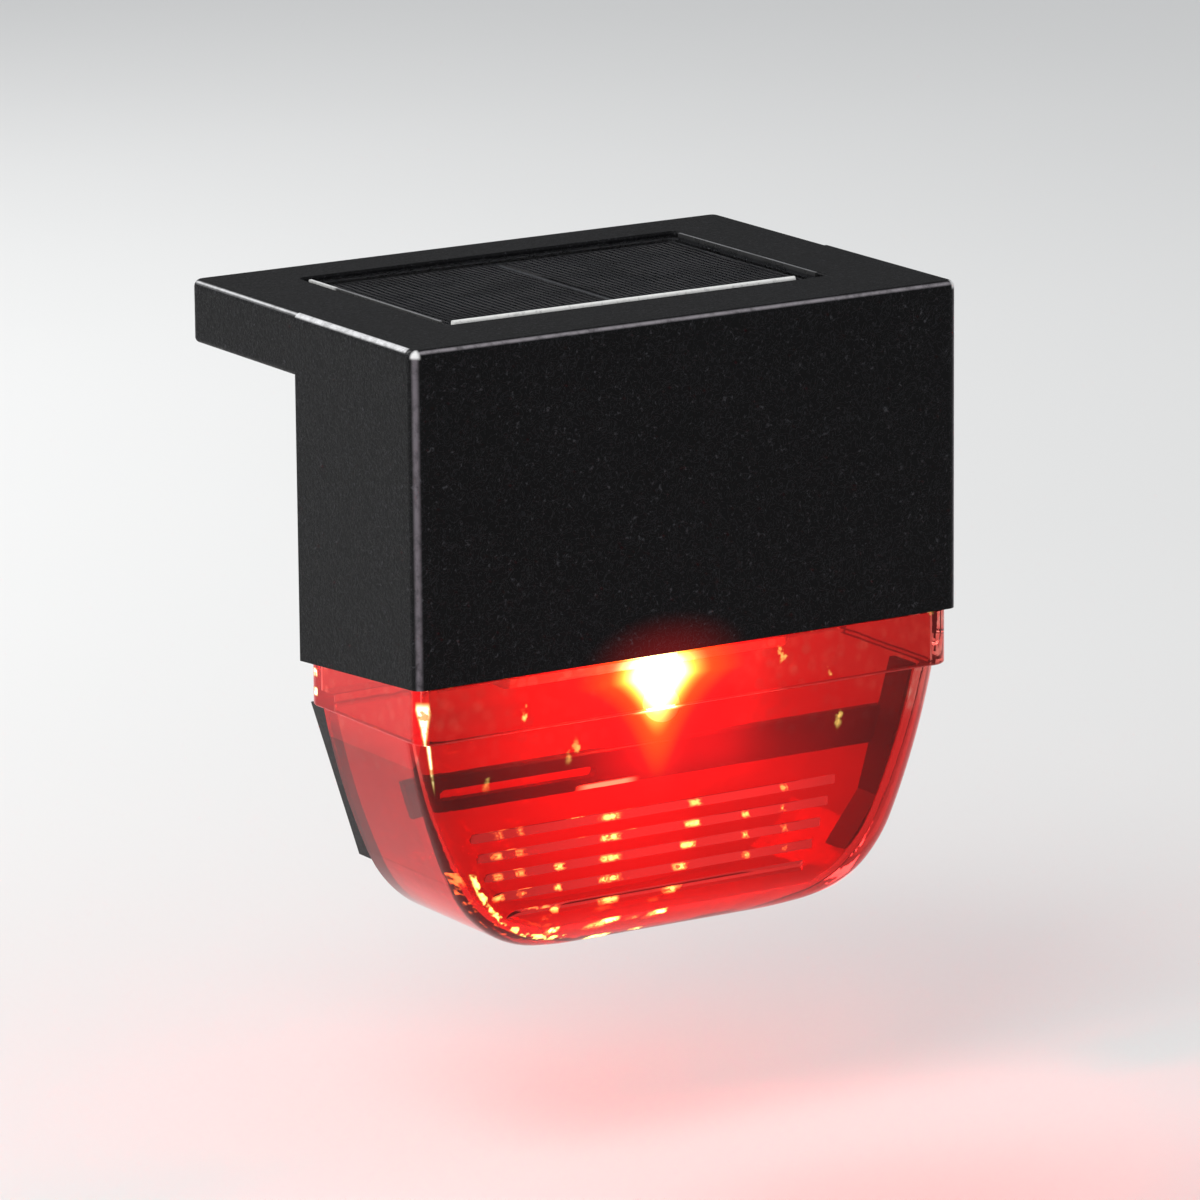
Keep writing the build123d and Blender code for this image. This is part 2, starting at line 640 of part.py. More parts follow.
with BuildPart() as resistors:
    with BuildSketch(Plane.XY.offset(zz(BOARD_TOP))):
        with Locations((15.5, -13), (15.5, -16), (15.5, -19), (1, -19.5)):
            Rectangle(2.0, 1.25)
    extrude(amount=0.55)

with BuildPart() as capacitor:
    with BuildSketch(Plane.XY.offset(zz(BOARD_TOP))):
        with Locations((-16.5, -15.5)):
            Circle(2.5)
    extrude(amount=6.0)
    fillet(capacitor.edges().group_by(Axis.Z)[-1], radius=0.4)

# ---------------------------------------------------------------- switch
with BuildPart() as switch_body:
    with BuildSketch(Plane.XY.offset(zz(PLATE_V1))):
        with Locations((SWITCH_X, SWITCH_Y)):
            Rectangle(10.0, 5.2)
    extrude(amount=4.2)
    with BuildSketch(Plane.XY.offset(zz(PLATE_V1))):
        with Locations((SWITCH_X, SWITCH_Y)):
            Rectangle(8.4, 3.6)
    extrude(amount=3.0, mode=Mode.SUBTRACT)
    with BuildSketch(Plane.XY.offset(zz(PLATE_V1 + 4.2))):
        with Locations(*[(SWITCH_X + i * 2.5, SWITCH_Y) for i in (-1, 0, 1)]):
            Rectangle(0.8, 0.5)
    extrude(amount=2.2)

SLIDE_X = SWITCH_X - SWITCH_TRAVEL / 2
with BuildPart() as switch_slider:
    with BuildSketch(Plane.XY.offset(zz(PLATE_V1 + 0.5))):
        with Locations((SLIDE_X, SWITCH_Y)):
            Rectangle(5.0, 3.0)
    extrude(amount=2.2)
    with BuildSketch(Plane.XY.offset(zz(1.0))):
        with Locations((SLIDE_X, SWITCH_Y)):
            Rectangle(2.4, 1.8)
    extrude(amount=PLATE_V1 + 0.6 - 1.0)
    fillet(switch_slider.edges().group_by(Axis.Z)[0], radius=0.3)


# ---------------------------------------------------------------- wires
def wire(points, start, end, radius=0.6):
    """A round lead along a smooth curve through points."""
    with BuildPart() as lead:
        with BuildLine() as path:
            Spline(*points, tangents=[start, end])
        with BuildSketch(Plane(origin=path.line @ 0, z_dir=path.line % 0)):
            Circle(radius)
        sweep(path=path.line)
    return lead


UP, DOWN = (0, 0, 1), (0, 0, -1)
battery_wire_red = wire([(23.4, BOX_Y, zz(5.8)), (23.4, BOX_Y, zz(BOARD_TOP + 0.9))], UP, UP)
battery_wire_black = wire([(-23.4, BOX_Y, zz(5.8)), (-23.4, BOX_Y, zz(BOARD_TOP + 0.9))], UP, UP)
panel_wire_red = wire(
    [(-4, -12, zz(P0 + 0.1)), (-9, -16, zz(34)), (-3, -20, zz(24)), (-6, -22, zz(BOARD_TOP))], DOWN, DOWN
)
panel_wire_black = wire(
    [(4, -12, zz(P0 + 0.1)), (7, -17, zz(34)), (0, -21, zz(24)), (-2.5, -22, zz(BOARD_TOP))], DOWN, DOWN
)
PIN_V = PLATE_V1 + 6.4
with BuildPart() as switch_wires:
    with BuildLine() as w1:
        Spline(
            (SWITCH_X, SWITCH_Y, zz(PIN_V)), (29.4, -20.3, zz(17.2)), (26.4, -20.4, zz(BOARD_TOP)),
            tangents=[UP, DOWN],
        )
    with BuildSketch(Plane(origin=w1.line @ 0, z_dir=w1.line % 0)):
        Circle(0.5)
    sweep(path=w1.line)
    with BuildLine() as w2:
        Spline(
            (SWITCH_X + 2.5, SWITCH_Y, zz(PIN_V)), (30.4, -17.6, zz(18.6)), (26.4, -16.8, zz(BOARD_TOP)),
            tangents=[UP, DOWN],
        )
    with BuildSketch(Plane(origin=w2.line @ 0, z_dir=w2.line % 0)):
        Circle(0.5)
    sweep(path=w2.line)

# ---------------------------------------------------------------- files
save(housing, "housing")
save(solar_board, "solar_board")
save(solar_cells, "solar_cells")
save(solar_cover, "solar_cover")
save(panel_sealant, "panel_sealant")
save(lens, "lens")
save(rear_strip, "rear_strip")
save(inner_frame, "inner_frame")
save(base_plate, "base_plate")
save(base_screws, "base_screws")
save(battery_lid, "battery_lid")
save(battery, "battery")
save(spring_contact, "spring_contact")
save(plate_contact, "plate_contact")
save(led, "led")
save(led_legs, "led_legs")
save(led_collar, "led_collar")
save(circuit_board, "circuit_board")
save(circuit_screws, "circuit_screws")
save(controller_chip, "controller_chip")
save(inductor, "inductor")
save(resistors, "resistors")
save(capacitor, "capacitor")
save(switch_body, "switch_body")
save(switch_slider, "switch_slider")
save(battery_wire_red, "battery_wire_red")
save(battery_wire_black, "battery_wire_black")
save(panel_wire_red, "panel_wire_red")
save(panel_wire_black, "panel_wire_black")
save(switch_wires, "switch_wires")
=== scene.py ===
import math

import bpy
from mathutils import Matrix, Vector


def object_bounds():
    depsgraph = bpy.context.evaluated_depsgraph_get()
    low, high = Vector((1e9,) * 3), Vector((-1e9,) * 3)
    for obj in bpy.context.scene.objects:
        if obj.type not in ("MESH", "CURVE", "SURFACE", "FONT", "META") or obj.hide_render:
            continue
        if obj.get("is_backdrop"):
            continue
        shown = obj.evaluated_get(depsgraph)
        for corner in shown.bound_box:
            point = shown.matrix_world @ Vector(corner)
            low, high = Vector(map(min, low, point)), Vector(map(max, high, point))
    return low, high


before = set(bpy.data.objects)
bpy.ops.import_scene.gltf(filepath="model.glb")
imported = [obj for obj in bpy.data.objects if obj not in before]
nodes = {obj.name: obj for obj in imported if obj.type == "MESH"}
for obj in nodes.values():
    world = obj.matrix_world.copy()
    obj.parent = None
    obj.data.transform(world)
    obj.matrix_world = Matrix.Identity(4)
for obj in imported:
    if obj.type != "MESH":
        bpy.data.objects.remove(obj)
cad_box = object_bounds()
scene = bpy.context.scene
MM = 0.001


# ------------------------------------------------------------------ node helpers
class Mat:
    """A material under construction: short ways to add and join shader nodes."""

    def __init__(self, name):
        self.m = bpy.data.materials.new(name)
        self.m.use_nodes = True
        self.t = self.m.node_tree
        self.t.nodes.clear()
        self.out = self.t.nodes.new("ShaderNodeOutputMaterial")
        self._co = None

    def add(self, kind, **sets):
        n = self.t.nodes.new(kind)
        for k, v in sets.items():
            setattr(n, k, v)
        return n

    def link(self, a, b):
        self.t.links.new(a, b)

    def put(self, socket, v):
        if isinstance(v, bpy.types.NodeSocket):
            self.link(v, socket)
        elif isinstance(v, (tuple, list)) and len(v) == 3 and socket.type == "RGBA":
            socket.default_value = (*v, 1.0)
        else:
            socket.default_value = v

    @property
    def co(self):
        if self._co is None:
            self._co = self.add("ShaderNodeTexCoord").outputs["Object"]
        return self._co

    def xyz(self):
        s = self.add("ShaderNodeSeparateXYZ")
        self.link(self.co, s.inputs[0])
        return s.outputs[0], s.outputs[1], s.outputs[2]

    def stretch(self, scale=(1, 1, 1), move=(0, 0, 0)):
        n = self.add("ShaderNodeMapping")
        self.link(self.co, n.inputs["Vector"])
        n.inputs["Scale"].default_value = scale
        n.inputs["Location"].default_value = move
        return n.outputs[0]

    def noise(self, per_mm, detail=2.0, rough=0.5, vec=None, distortion=0.0):
        n = self.add("ShaderNodeTexNoise")
        self.link(vec if vec is not None else self.co, n.inputs["Vector"])
        n.inputs["Scale"].default_value = per_mm * 1000.0
        n.inputs["Detail"].default_value = detail
        n.inputs["Roughness"].default_value = rough
        n.inputs["Distortion"].default_value = distortion
        return n.outputs["Fac"]

    def voronoi(self, per_mm, vec=None, feature="F1", rand=1.0):
        n = self.add("ShaderNodeTexVoronoi", feature=feature)
        self.link(vec if vec is not None else self.co, n.inputs["Vector"])
        n.inputs["Scale"].default_value = per_mm * 1000.0
        n.inputs["Randomness"].default_value = rand
        return n.outputs["Distance"]

    def math(self, op, a, b=0.0, c=0.0, clamp=False):
        n = self.add("ShaderNodeMath", operation=op, use_clamp=clamp)
        for i, v in enumerate((a, b, c)):
            self.put(n.inputs[i], v)
        return n.outputs[0]

    def ramp(self, fac, lo, hi, out_lo=0.0, out_hi=1.0, smooth=True):
        n = self.add("ShaderNodeMapRange", interpolation_type="SMOOTHSTEP" if smooth else "LINEAR")
        self.put(n.inputs["Value"], fac)
        for k, v in (("From Min", lo), ("From Max", hi), ("To Min", out_lo), ("To Max", out_hi)):
            n.inputs[k].default_value = v
        return n.outputs["Result"]

    def colours(self, fac, stops):
        n = self.add("ShaderNodeValToRGB")
        self.put(n.inputs[0], fac)
        e = n.color_ramp.elements
        while len(e) < len(stops):
            e.new(0.5)
        for i, (p, c) in enumerate(stops):
            e[i].position = p
            e[i].color = (*c, 1.0)
        return n.outputs[0]

    def mix(self, fac, a, b, blend="MIX"):
        n = self.add("ShaderNodeMix", data_type="RGBA", blend_type=blend)
        self.put(n.inputs[0], fac)
        self.put(n.inputs[6], a)
        self.put(n.inputs[7], b)
        return n.outputs[2]

    def bump(self, height, dist_mm, strength=1.0, normal=None):
        n = self.add("ShaderNodeBump")
        n.inputs["Strength"].default_value = strength
        n.inputs["Distance"].default_value = dist_mm * MM
        self.put(n.inputs["Height"], height)
        if normal is not None:
            self.link(normal, n.inputs["Normal"])
        return n.outputs[0]

    def shader(self, **sets):
        n = self.add("ShaderNodeBsdfPrincipled")
        for k, v in sets.items():
            self.put(n.inputs[k.replace("_", " ")], v)
        return n

    def done(self, shader):
        self.link(shader.outputs[0] if hasattr(shader, "outputs") else shader, self.out.inputs["Surface"])
        return self.m


def moulded(name, colour, rough=0.5, grain=1.6, depth=0.03, speck=0.5, level=0.5, tint=None):
    """Moulded plastic with a fine sparked grain, faint mottling and lighter specks."""
    k = Mat(name)
    fine = k.noise(grain, 3.0, 0.6)
    cell = k.voronoi(grain * 1.3)
    broad = k.noise(0.05, 3.0, 0.55)
    spots = k.ramp(k.noise(grain * 1.15, 1.0, 0.4), 0.66, 0.78)
    c = k.mix(k.ramp(broad, 0.3, 0.7, 0.0, 1.0), [v * 0.86 for v in colour], [min(1, v * 1.14) for v in colour])
    light = tint or [min(1.0, v * 3.0 + 0.012) for v in colour]
    c = k.mix(k.math("MULTIPLY", spots, speck), c, light)
    r = k.math("ADD", k.ramp(fine, 0.3, 0.7, rough - 0.07, rough + 0.07), k.ramp(broad, 0.3, 0.7, -0.03, 0.03))
    h = k.math("ADD", fine, k.math("MULTIPLY", cell, 0.5))
    return k.done(k.shader(Base_Color=c, Roughness=r, Specular_IOR_Level=level, Normal=k.bump(h, depth)))


def metal(name, colour, rough=0.3, along=(1, 1, 1), depth=0.004):
    """Plated or stamped metal: fine drawn scratches, slight dulling in patches."""
    k = Mat(name)
    v = k.stretch(along)
    scratch = k.noise(3.0, 4.0, 0.7, vec=v)
    patch = k.noise(0.25, 3.0, 0.6)
    c = k.mix(k.ramp(patch, 0.35, 0.7), colour, [x * 0.78 for x in colour])
    r = k.math("ADD", k.ramp(scratch, 0.3, 0.7, rough - 0.06, rough + 0.1), k.ramp(patch, 0.4, 0.7, 0.0, 0.1))
    return k.done(k.shader(Base_Color=c, Metallic=1.0, Roughness=r, Normal=k.bump(scratch, depth)))


def give(node, material):
    o = nodes[node]
    o.data.materials.clear()
    o.data.materials.append(material)
    return o


# ------------------------------------------------------------------ housing
BODY = (49.0, -36.0, 10.0)    # half width, front face and roof, mm


def edge(k, d1, d2, r):
    """1 on the rounding of radius r mm between two faces, from the distances to them."""
    return k.ramp(k.math("MAXIMUM", d1, d2), 0.32 * r * MM, 0.62 * r * MM, 1.0, 0.0)


def housing_material():
    """Black moulded plastic, sparked grain, with polished edges that carry painted highlights."""
    k = Mat("housing_plastic")
    x, y, z = k.xyz()
    fine = k.noise(1.3, 3.0, 0.62, distortion=0.4)
    worm = k.noise(0.75, 2.0, 0.55, distortion=1.6)
    broad = k.noise(0.05, 3.0, 0.55)
    specks = k.ramp(fine, 0.60, 0.74)
    ridges = k.ramp(k.math("ABSOLUTE", k.math("SUBTRACT", worm, 0.5)), 0.0, 0.035, 1.0, 0.0)
    patchy = k.ramp(k.noise(0.5, 3.0, 0.6), 0.3, 0.7, 0.45, 0.9)
    c = k.mix(broad, (0.0012, 0.0012, 0.0015), (0.0028, 0.0028, 0.0033))
    c = k.mix(k.math("MULTIPLY", k.math("MULTIPLY", ridges, patchy), 0.6), c, (0.022, 0.022, 0.026))
    c = k.mix(k.math("MULTIPLY", specks, 0.7), c, (0.05, 0.05, 0.056))
    side = k.math("SUBTRACT", BODY[0] * MM, k.math("ABSOLUTE", x))
    front = k.math("SUBTRACT", y, BODY[1] * MM)
    roof = k.math("SUBTRACT", BODY[2] * MM, z)
    # noise that breaks up the painted edge highlights
    highlight_breakup = k.ramp(k.noise(0.5, 4.0, 0.7), 0.25, 0.6, 0.35, 1.0)
    upright = edge(k, side, front, 2.0)
    across = edge(k, front, roof, 1.2)
    along = k.math("MAXIMUM", edge(k, side, roof, 1.2), edge(k, k.math("SUBTRACT", side, 0.5 * MM), roof, 1.0))
    along = k.math("MULTIPLY", along, k.ramp(front, 2.4 * MM, 3.0 * MM))
    corner = k.math("MULTIPLY", k.ramp(side, 0.9 * MM, 1.5 * MM, 1.0, 0.0), k.math("MULTIPLY", k.ramp(front, 0.9 * MM, 1.5 * MM, 1.0, 0.0), k.ramp(roof, 0.9 * MM, 1.5 * MM, 1.0, 0.0)))
    # painted highlights: lighter colour along the upright front edges, the roof's front and side edges and the front
    # top corners
    c = k.mix(k.math("MULTIPLY", upright, highlight_breakup), c, (0.13, 0.115, 0.13))
    c = k.mix(k.math("MULTIPLY", across, highlight_breakup), c, (0.27, 0.25, 0.27))
    c = k.mix(k.math("MULTIPLY", along, k.ramp(highlight_breakup, 0.35, 1.0, 0.6, 1.0)), c, (0.55, 0.55, 0.56))
    c = k.mix(corner, c, (0.75, 0.75, 0.75))
    e = k.math("MAXIMUM", upright, k.math("MAXIMUM", across, along))
    top = k.math("MULTIPLY", k.ramp(z, 9.7 * MM, 9.95 * MM), k.math("SUBTRACT", 1.0, e))
    r = k.math("ADD", k.ramp(fine, 0.3, 0.7, 0.36, 0.5), k.math("MULTIPLY", e, -0.12))
    r = k.math("ADD", r, k.math("MULTIPLY", top, 0.42))
    h = k.math("ADD", fine, k.math("MULTIPLY", ridges, 0.35))
    # red light spilling over the lower rim beside the lamp
    sx = k.math("MULTIPLY", k.math("ADD", x, 5.0 * MM), 0.55)
    sz = k.math("ADD", z, 44.0 * MM)
    spill = k.math("POWER", k.math("ADD", k.math("MULTIPLY", sx, sx), k.math("MULTIPLY", sz, sz)), 0.5)
    spill = k.math("MULTIPLY", k.ramp(spill, 1.0 * MM, 9.0 * MM, 0.13, 0.0), k.math("LESS_THAN", y, -34.0 * MM))
    return k.done(k.shader(
        Base_Color=c, Roughness=r, Specular_IOR_Level=0.10, Normal=k.bump(h, 0.075),
        Emission_Color=(1.0, 0.015, 0.02), Emission_Strength=spill,
    ))


give("housing", housing_material())
give("rear_strip", moulded("frame_plastic", (0.005, 0.005, 0.0055), rough=0.5, grain=2.2, depth=0.015, speck=0.15, level=0.3))

# the bar and leg inside the lens: black, with the lamp caught along the bar's lower edge
k = Mat("inner_frame_plastic")
x, y, z = k.xyz()
g = k.noise(2.0, 3.0, 0.6)
c = k.mix(g, (0.003, 0.003, 0.0035), (0.010, 0.009, 0.010))
lit = k.math("MULTIPLY", k.ramp(k.math("ABSOLUTE", k.math("ADD", z, 64.4 * MM)), 0.25 * MM, 0.6 * MM, 1.0, 0.0),
             k.ramp(k.math("ABSOLUTE", k.math("ADD", x, 9.0 * MM)), 3.0 * MM, 6.0 * MM, 1.0, 0.0))
lit = k.math("MULTIPLY", lit, k.math("LESS_THAN", y, -23.0 * MM))
give("inner_frame", k.done(k.shader(
    Base_Color=c, Roughness=k.ramp(g, 0.3, 0.7, 0.3, 0.45), Specular_IOR_Level=0.3, Normal=k.bump(g, 0.015),
    Emission_Color=(1.0, 0.8, 0.45), Emission_Strength=k.math("MULTIPLY", lit, 14.0),
)))
give("led_collar", moulded("collar_plastic", (0.02, 0.02, 0.021), rough=0.45, grain=2.2, depth=0.01, speck=0.2))

# ------------------------------------------------------------------ panel
k = Mat("panel_resin")
waves = k.noise(0.06, 2.0, 0.5)
dust = k.ramp(k.noise(0.5, 2.0, 0.5), 0.62, 0.8)
sheen = k.shader(
    Base_Color=(0.05, 0.05, 0.052), Roughness=k.math("ADD", k.ramp(waves, 0.3, 0.7, 0.18, 0.26), k.math("MULTIPLY", dust, 0.12)),
    Specular_IOR_Level=0.08, Normal=k.bump(waves, 0.03),
)
clear = k.add("ShaderNodeBsdfTransparent")
clear.inputs[0].default_value = (0.93, 0.94, 0.95, 1)
mixer = k.add("ShaderNodeMixShader")
k.put(mixer.inputs[0], k.math("ADD", 0.05, k.math("MULTIPLY", dust, 0.02)))
k.link(clear.outputs[0], mixer.inputs[1])
k.link(sheen.outputs[0], mixer.inputs[2])
give("solar_cover", k.done(mixer))

k = Mat("silicon")
x, y, z = k.xyz()
wander = k.math("MULTIPLY", k.math("SUBTRACT", k.noise(0.07, 1.0, 0.4), 0.5), 1.8 * MM)
line = k.math("PINGPONG", k.math("ADD", x, wander), 0.56 * MM)
fine = k.ramp(line, 0.04 * MM, 0.3 * MM, 1.0, 0.0)
shade = k.noise(0.09, 3.0, 0.6)
broken = k.ramp(k.noise(0.12, 1.0, 0.5), 0.35, 0.6, 0.6, 1.0)
base = k.mix(k.ramp(shade, 0.3, 0.7), (0.0025, 0.0025, 0.003), (0.006, 0.006, 0.0075))
base = k.mix(k.math("MULTIPLY", fine, k.math("MULTIPLY", broken, 0.9)), base, (0.075, 0.07, 0.068))
give("solar_cells", k.done(k.shader(Base_Color=base, Roughness=k.ramp(shade, 0.3, 0.7, 0.3, 0.42), Specular_IOR_Level=0.0)))

k = Mat("board_dark")
speck = k.noise(1.2, 3.0, 0.6)
c = k.mix(k.ramp(speck, 0.35, 0.65), (0.004, 0.004, 0.005), (0.011, 0.011, 0.012))
give("solar_board", k.done(k.shader(Base_Color=c, Roughness=k.ramp(speck, 0.3, 0.7, 0.4, 0.6), Normal=k.bump(speck, 0.01))))

# cured bead: pale where it stands proud along the front and at the ends, a painted highlight of the pocket's rim; dark
# and dirty in the gap
k = Mat("sealant")
x, y, z = k.xyz()
lump = k.noise(0.35, 3.0, 0.55)
dirt = k.ramp(k.noise(1.4, 3.0, 0.6), 0.5, 0.75)
proud = k.ramp(z, 9.2 * MM, 9.9 * MM)
front = k.ramp(y, -20.25 * MM, -20.0 * MM, 1.0, 0.06)
back_left = k.math("MULTIPLY", k.math("LESS_THAN", x, -33.0 * MM), k.ramp(y, 12.0 * MM, 13.5 * MM))
front = k.math("MAXIMUM", front, k.math("MULTIPLY", back_left, 0.75))
front = k.math("MULTIPLY", front, k.ramp(x, 33.55 * MM, 33.7 * MM, 1.0, 0.2))
# painted highlight: the proud front bead and the left end made pale
c = k.mix(k.math("MULTIPLY", proud, front), (0.012, 0.012, 0.013), (0.86, 0.86, 0.84))
c = k.mix(k.math("MULTIPLY", dirt, 0.35), c, (0.05, 0.048, 0.045))
give("panel_sealant", k.done(k.shader(Base_Color=c, Roughness=k.ramp(lump, 0.3, 0.7, 0.22, 0.38), Normal=k.bump(lump, 0.12))))

# ------------------------------------------------------------------ lens
LED_AT = (0.0, -25.6 * MM, (-8.6 + 2.5 - 42.0) * MM)


RIB_Z = (-25.2 - 0.28 - 42.0) * MM      # ridge of the first rib inside the front
RIB_STEP = 3.3 * MM


def lens_material():
    """Clear plastic filled with red light: a hot spot beside the lamp, glints on the ribs."""
    k = Mat("lens_clear")
    x, y, z = k.xyz()
    ripple = k.noise(0.12, 2.0, 0.5)
    haze = k.noise(1.1, 3.0, 0.6)
    broad = k.noise(0.045, 2.0, 0.5)
    crumbs = k.noise(0.55, 2.0, 0.6)

    # closeness to the lamp, drawn out along the front wall
    under = k.math("MAXIMUM", k.math("SUBTRACT", -46.0 * MM, z), 0.0)
    hx = k.math("MULTIPLY", k.math("ADD", x, 5.4 * MM), k.math("ADD", 0.64, k.math("MULTIPLY", under, 120.0)))
    hy = k.math("MULTIPLY", k.math("ADD", y, 33.5 * MM), 0.5)
    hz = k.math("ADD", k.math("ADD", z, 45.6 * MM), k.math("MULTIPLY", under, 0.42))
    sq = k.math("ADD", k.math("MULTIPLY", hx, hx), k.math("ADD", k.math("MULTIPLY", hy, hy), k.math("MULTIPLY", hz, hz)))
    near = k.math("POWER", sq, 0.5)
    hot = k.ramp(near, 1.6 * MM, 6.5 * MM, 1.0, 0.0)

    # how far from the lamp
    far = k.add("ShaderNodeVectorMath", operation="DISTANCE")
    k.link(k.co, far.inputs[0])
    far.inputs[1].default_value = LED_AT
    d = far.outputs["Value"]

    # painted light: the clear plastic is tinted red as if filled with the lamp's light, deeper red further from the
    # lamp, deeper still over the ribbed front, with paler brownish discs in the upper band
    ax = k.math("ADD", x, 3.0 * MM)
    ay = k.math("MULTIPLY", k.math("ADD", y, 31.0 * MM), 0.55)
    az = k.math("MULTIPLY", k.math("ADD", z, 52.0 * MM), 0.5)
    away = k.math("POWER", k.math("ADD", k.math("MULTIPLY", ax, ax), k.math("ADD", k.math("MULTIPLY", ay, ay), k.math("MULTIPLY", az, az))), 0.5)
    away = k.math("ADD", k.ramp(away, 12.0 * MM, 44.0 * MM), k.math("MULTIPLY", k.math("SUBTRACT", k.noise(0.09, 3.0, 0.6), 0.5), 0.75), clamp=True)
    tint = k.mix(away, (1.0, 0.035, 0.032), (0.64, 0.02, 0.018))
    ribbed = k.math("MULTIPLY", k.math("MULTIPLY", k.math("GREATER_THAN", y, -32.4 * MM), k.math("LESS_THAN", y, -26.0 * MM)), k.ramp(z, -63.0 * MM, -65.0 * MM))
    tint = k.mix(k.math("MULTIPLY", ribbed, 0.7), tint, (0.85, 0.012, 0.012))
    discs = k.ramp(k.voronoi(0.34, rand=0.9), 0.22, 0.42, 1.0, 0.0)
    band = k.math("MULTIPLY", k.ramp(z, -60.0 * MM, -56.0 * MM), k.ramp(k.math("ABSOLUTE", ax), 9.0 * MM, 16.0 * MM))
    tint = k.mix(k.math("MULTIPLY", k.math("MULTIPLY", k.ramp(discs, 0.0, 1.0, 0.3, 1.0), band), 0.7), tint, (0.74, 0.36, 0.28))
    # painted hot spot: the tint turns warm white close to the lamp
    tint = k.mix(hot, tint, (1.0, 0.93, 0.78))
    body = k.shader(
        Base_Color=tint, Transmission_Weight=1.0, IOR=1.49,
        Roughness=k.ramp(haze, 0.35, 0.75, 0.0, 0.05), Specular_Tint=(1.0, 0.34, 0.32),
        Normal=k.bump(ripple, 0.05),
    )

    # light held in the plastic
    glow = k.colours(
        k.ramp(near, 0.0, 14.0 * MM, 0.0, 1.0, smooth=False),
        [(0.0, (1.0, 0.97, 0.85)), (0.17, (1.0, 0.92, 0.5)), (0.28, (1.0, 0.6, 0.05)), (0.42, (1.0, 0.16, 0.012)), (0.7, (1.0, 0.010, 0.014)), (1.0, (0.85, 0.004, 0.010))],
    )
    spot = k.math("MULTIPLY", k.math("POWER", hot, 1.6), 2.2)
    fade = k.math("MULTIPLY", k.ramp(d, 8.0 * MM, 46.0 * MM, 0.20, 0.012), k.ramp(broad, 0.3, 0.7, 0.7, 1.3))
    curtain = k.math("MULTIPLY", k.ramp(k.math("ABSOLUTE", k.math("ADD", x, 2.0 * MM)), 5.0 * MM, 21.0 * MM, 0.32, 0.0),
                     k.math("MULTIPLY", k.ramp(z, -68.0 * MM, -58.0 * MM), k.math("LESS_THAN", y, -30.5 * MM)))
    end = k.math("MULTIPLY", k.math("LESS_THAN", x, -46.5 * MM), k.ramp(z, -60.0 * MM, -50.0 * MM, 0.04, 0.3))
    fade = k.math("ADD", k.math("ADD", fade, curtain), end)
    held = k.add("ShaderNodeEmission")
    k.link(glow, held.inputs[0])
    k.put(held.inputs[1], k.math("ADD", spot, fade))

    # glints where the ribs and the crease catch the lamp
    inside = k.math("GREATER_THAN", y, -32.7 * MM)
    front = k.math("MULTIPLY", inside, k.math("LESS_THAN", y, -26.0 * MM))
    phase = k.math("PINGPONG", k.math("SUBTRACT", z, RIB_Z), RIB_STEP / 2)
    wob = k.math("MULTIPLY", k.math("SUBTRACT", crumbs, 0.5), 2.4 * MM)
    low = k.math("DIVIDE", k.math("SUBTRACT", RIB_Z, z), 5 * RIB_STEP)
    total = None
    for x0, bend, wide, top, end, power in (
        (-12.6, -0.4, 2.6, -0.1, 1.25, 1.0),
        (2.6, -6.5, 1.8, 0.0, 1.2, 0.95),
        (-21.5, -1.5, 1.0, 0.3, 1.1, 0.85),
        (12.0, 0.5, 0.8, 0.1, 0.7, 0.5),
        (19.0, 0.8, 0.7, 0.0, 0.6, 0.5),
        (-33.0, 1.0, 1.5, 0.0, 0.7, 0.45),
        (-29.0, 1.5, 1.2, 0.0, 0.7, 0.35),
    ):
        at = k.math("ADD", k.math("MULTIPLY", k.math("MULTIPLY", low, low), bend * MM), x0 * MM)
        off = k.math("ABSOLUTE", k.math("ADD", k.math("SUBTRACT", x, at), wob))
        dot = k.ramp(off, 0.2 * wide * MM, 0.85 * wide * MM, 1.0, 0.0)
        dot = k.math("MULTIPLY", dot, k.ramp(phase, 0.1 * MM, 0.62 * MM, 1.0, 0.0))
        dot = k.math("MULTIPLY", dot, k.math("MULTIPLY", k.math("GREATER_THAN", low, top), k.math("LESS_THAN", low, end)))
        dot = k.math("MULTIPLY", dot, power)
        total = dot if total is None else k.math("MAXIMUM", total, dot)
    total = k.math("MULTIPLY", total, front)
    total = k.math("MULTIPLY", total, k.ramp(k.noise(1.0, 2.0, 0.6, distortion=0.6), 0.4, 0.55, 0.12, 1.0))
    # streak along the crease under the lamp
    crease = k.math("MULTIPLY", k.ramp(k.math("ABSOLUTE", k.math("ADD", z, 51.0 * MM)), 0.15 * MM, 0.45 * MM, 1.0, 0.0),
                    k.ramp(k.math("ABSOLUTE", k.math("ADD", x, 5.6 * MM)), 2.5 * MM, 5.0 * MM, 1.0, 0.0))
    crease = k.math("MULTIPLY", crease, k.math("LESS_THAN", y, -33.5 * MM))
    # row of small lights down the rear upright edge of the collar
    beads = k.math("MULTIPLY", k.ramp(k.math("PINGPONG", k.math("ADD", z, 0.6 * MM), 1.5 * MM), 0.3 * MM, 0.8 * MM, 1.0, 0.0),
                   k.ramp(k.math("ABSOLUTE", k.math("ADD", y, 3.6 * MM)), 0.3 * MM, 0.8 * MM, 1.0, 0.0))
    beads = k.math("MULTIPLY", beads, k.math("MULTIPLY", k.math("LESS_THAN", x, -46.8 * MM), k.math("GREATER_THAN", z, -51.0 * MM)))
    beads = k.math("MULTIPLY", beads, k.ramp(k.noise(0.9, 1.0, 0.5), 0.35, 0.55, 0.3, 1.0))
